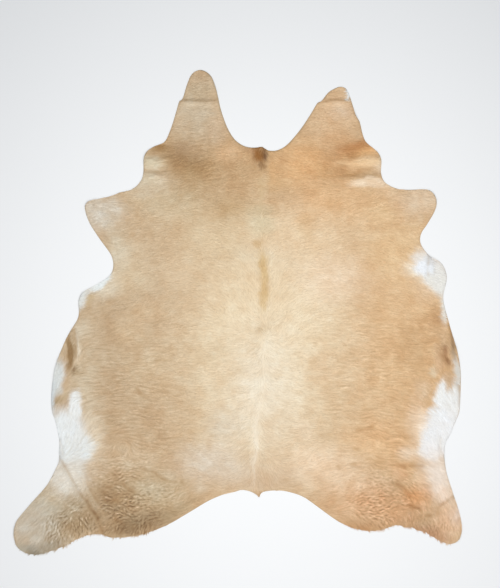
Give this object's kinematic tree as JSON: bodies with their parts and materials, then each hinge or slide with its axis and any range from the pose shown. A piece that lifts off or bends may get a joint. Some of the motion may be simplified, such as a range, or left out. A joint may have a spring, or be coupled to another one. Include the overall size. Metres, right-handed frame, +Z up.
{
  "type": "hair-on cattle hide rug",
  "caption": "Whole hair-on cattle hide laid flat coat side up, with neck flaps, forelegs, hind legs and creased edges, for use as a floor rug or upholstery stock.",
  "frame": {"origin": "centre of the outline's bounding rectangle, on the floor", "axes": "+Y along the backbone towards the neck, +X to the right seen from above, +Z up through the hair side"},
  "size_m": [2.2378, 2.4218, 0.0192],
  "materials": {
    "hair_coat": "short hair in tan, cream and white over tanned leather"
  },
  "bodies": {
    "root": {"hide": "hair_coat"}
  },
  "joints": []
}
